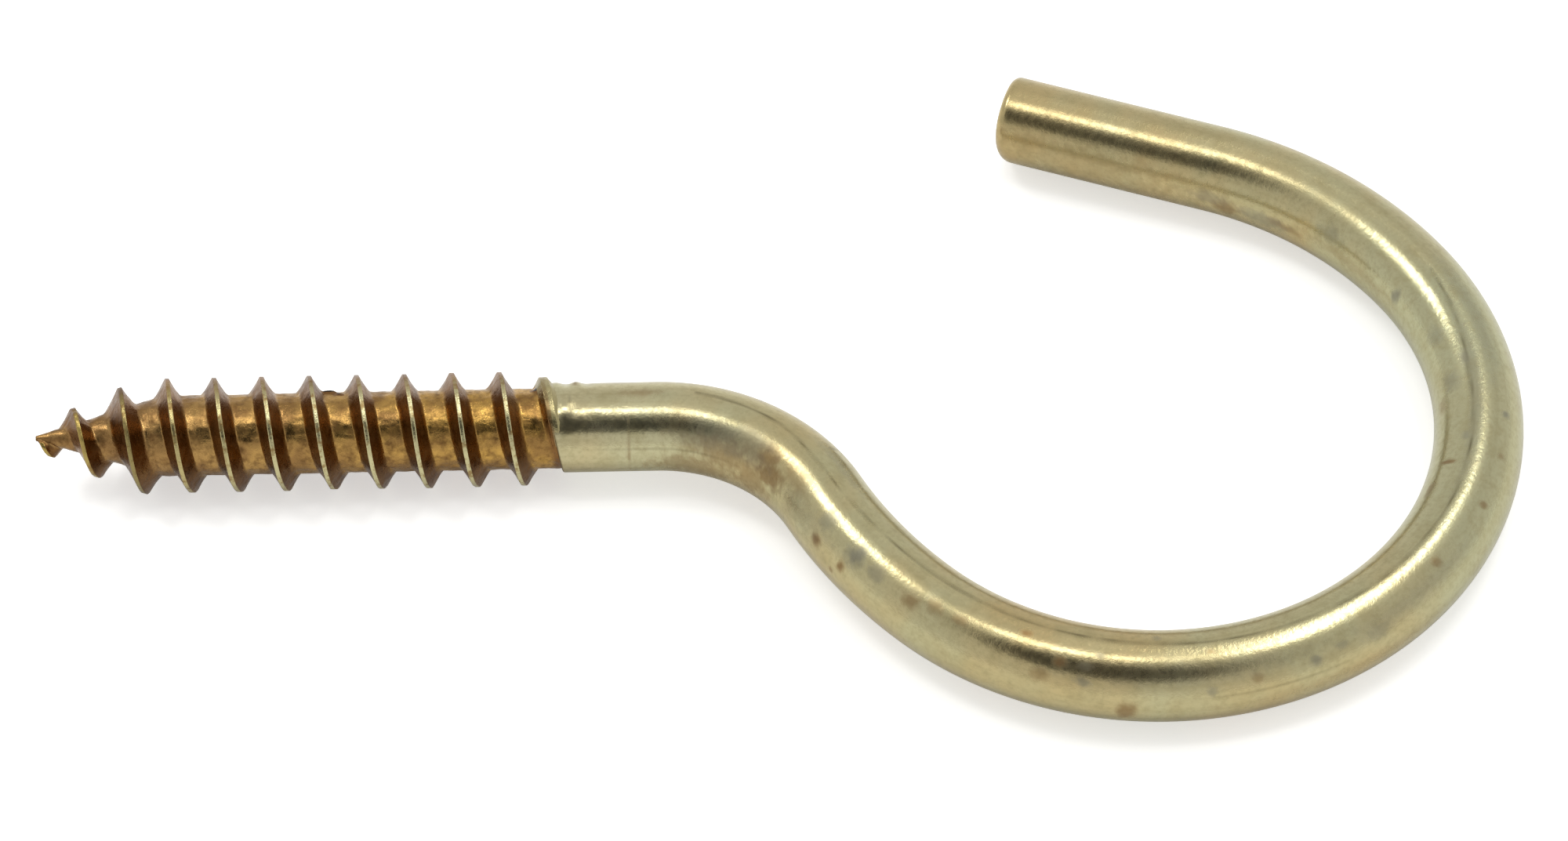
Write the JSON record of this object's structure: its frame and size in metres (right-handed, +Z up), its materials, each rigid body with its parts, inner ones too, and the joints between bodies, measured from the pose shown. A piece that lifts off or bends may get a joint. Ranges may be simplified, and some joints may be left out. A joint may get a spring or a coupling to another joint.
{
  "type": "cup hook",
  "caption": "Screw-in cup hook bent from round brass wire: gimlet-pointed wood-screw thread, curved neck and an open ring with a straight end, lying flat.",
  "frame": {"origin": "on the surface that the hook lies on, under the centre of its bounding box", "axes": "+X along the screw from its point towards the ring, +Y towards the mouth of the ring, +Z up from the surface it lies on"},
  "size_m": [0.0796, 0.044, 0.0064],
  "materials": {
    "brass_wire": "semi-polished drawn brass wire, lightly tarnished, with a darker bronze-brown rolled thread"
  },
  "bodies": {
    "root": {"cup_hook": "brass_wire"}
  },
  "joints": []
}
